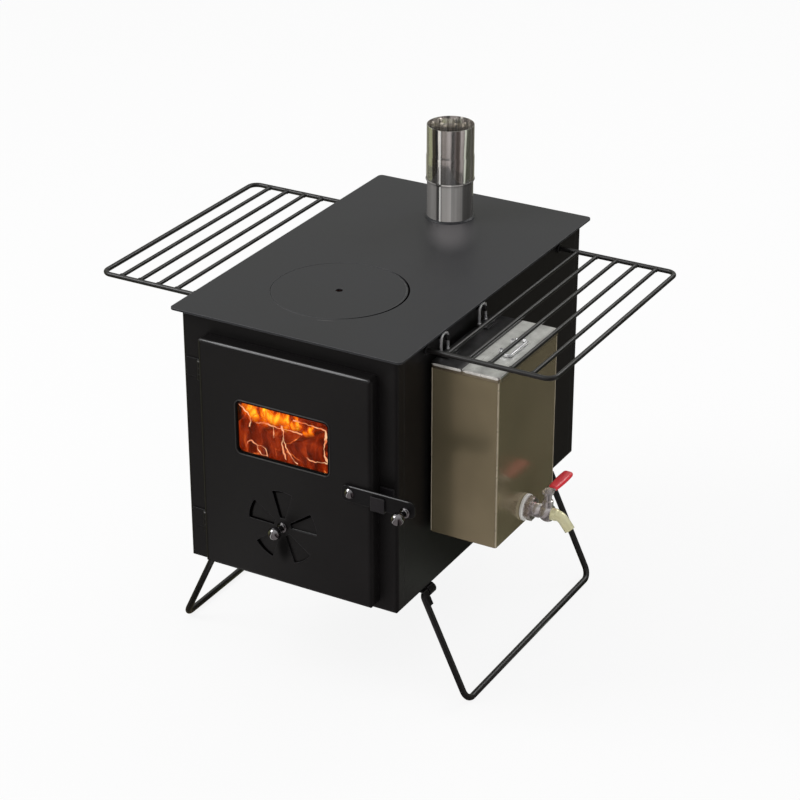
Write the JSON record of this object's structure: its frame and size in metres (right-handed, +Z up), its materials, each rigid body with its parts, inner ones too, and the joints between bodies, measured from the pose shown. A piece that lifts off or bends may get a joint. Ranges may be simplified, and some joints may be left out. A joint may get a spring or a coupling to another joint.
{
  "type": "tent wood stove",
  "caption": "Folding tent wood stove with a glazed front door, air damper, lift-out hotplate, flue pipe, side racks and a hung water tank with a tap.",
  "frame": {"origin": "on the floor, under the middle of the stove's overall reach from side to side and from front knob to back edge", "axes": "+X to the right as seen from the door side, +Y from the door to the back, +Z up"},
  "size_m": [0.618, 0.5332, 0.6005],
  "materials": {
    "black_paint": "satin black stove paint",
    "top_paint": "satin black stove paint, lit from above",
    "cast_iron": "bare, sooted",
    "stainless": "bright rolled",
    "chrome": "polished",
    "zinc": "zinc plated",
    "brass": "pale polished",
    "red_sleeve": "gloss red",
    "white_seal": "white silicone",
    "rope": "braided glass rope",
    "glass": "heat-proof glass over the fire"
  },
  "bodies": {
    "stove": {"firebox_shell": "black_paint", "front_frame": "black_paint", "back_panel": "black_paint", "top_plate": "top_paint", "hotplate_ring": "black_paint", "flue_spigot": "stainless", "rack_sockets": "black_paint", "hinge_leaves": "black_paint", "hinge_pins": "zinc", "latch_keeper": "black_paint", "leg_lugs": "black_paint", "leg_stops": "black_paint", "tank_pegs": "black_paint", "tank_standoffs": "black_paint", "grate_ledges": "black_paint", "fire_grate": "cast_iron"},
    "door": {"door_panel": "black_paint", "door_glass": "glass", "glass_retainer": "black_paint", "retainer_screws": "zinc", "door_hinge_leaves": "black_paint", "seal_channel": "black_paint", "door_seal": "rope", "latch_washer": "zinc", "latch_bolt": "chrome", "latch_nut": "zinc"},
    "latch": {"latch_bar": "black_paint", "latch_knob": "chrome"},
    "damper": {"damper_disc": "black_paint", "damper_knob": "chrome", "damper_nut": "zinc"},
    "hotplate": {"hotplate": "top_paint"},
    "rack_left": {"rack_left": "black_paint"},
    "rack_right": {"rack_right": "black_paint"},
    "leg_left": {"leg_left": "black_paint"},
    "leg_right": {"leg_right": "black_paint"},
    "tank": {"tank_shell": "stainless", "tank_cover": "stainless", "tank_loops": "chrome", "loop_tabs": "stainless", "loop_rivets": "stainless", "tap_washer": "white_seal", "tap_nut": "stainless", "tap_backnut": "stainless", "tap_body": "stainless", "tap_spout": "brass"},
    "tank_lid": {"tank_lid": "stainless", "lid_clips": "chrome"},
    "lid_handle": {"lid_handle": "chrome"},
    "tap_lever": {"tap_lever": "stainless", "lever_sleeve": "red_sleeve", "lever_screw": "stainless"},
    "flue_pipe": {"flue_pipe": "stainless"}
  },
  "joints": [
    {"name": "door_swing", "type": "hinge", "parent": "stove", "child": "door", "pos_m": [-0.117, -0.22315, 0.302], "axis": [0, 0, -1], "range_deg": [0, 110]},
    {"name": "latch_lift", "type": "hinge", "parent": "door", "child": "latch", "pos_m": [0.094, -0.23915, 0.3025], "axis": [0, -1, 0], "range_deg": [0, 80]},
    {"name": "damper_turn", "type": "hinge", "parent": "door", "child": "damper", "pos_m": [0, -0.23365, 0.231], "axis": [0, -1, 0], "range_deg": [0, 36]},
    {"name": "hotplate_lift", "type": "slide", "parent": "stove", "child": "hotplate", "axis": [0, 0, 1], "range_m": [0, 0.06]},
    {"name": "rack_left_pull", "type": "slide", "parent": "stove", "child": "rack_left", "axis": [-1, 0, 0], "range_m": [0, 0.06]},
    {"name": "rack_right_pull", "type": "slide", "parent": "stove", "child": "rack_right", "axis": [1, 0, 0], "range_m": [0, 0.06]},
    {"name": "leg_left_fold", "type": "hinge", "parent": "stove", "child": "leg_left", "pos_m": [-0.143, 0.01915, 0.136], "axis": [0, -1, 0], "range_deg": [0, 110]},
    {"name": "leg_right_fold", "type": "hinge", "parent": "stove", "child": "leg_right", "pos_m": [0.143, 0.01915, 0.136], "axis": [0, 1, 0], "range_deg": [0, 114]},
    {"name": "tank_unhook", "type": "slide", "parent": "stove", "child": "tank", "axis": [0.9962, 0, 0.0872], "range_m": [0, 0.015]},
    {"name": "tank_lid_lift", "type": "slide", "parent": "tank", "child": "tank_lid", "axis": [0, 0, 1], "range_m": [0, 0.0035]},
    {"name": "lid_handle_swing", "type": "hinge", "parent": "tank_lid", "child": "lid_handle", "pos_m": [0.21, -0.07285, 0.448], "axis": [0, -1, 0], "range_deg": [0, 10]},
    {"name": "tap_turn", "type": "hinge", "parent": "tank", "child": "tap_lever", "pos_m": [0.267, -0.07285, 0.27], "axis": [0, 0, -1], "range_deg": [0, 90]},
    {"name": "flue_pipe_lift", "type": "slide", "parent": "stove", "child": "flue_pipe", "axis": [0, 0, 1], "range_m": [0, 0.06]}
  ]
}
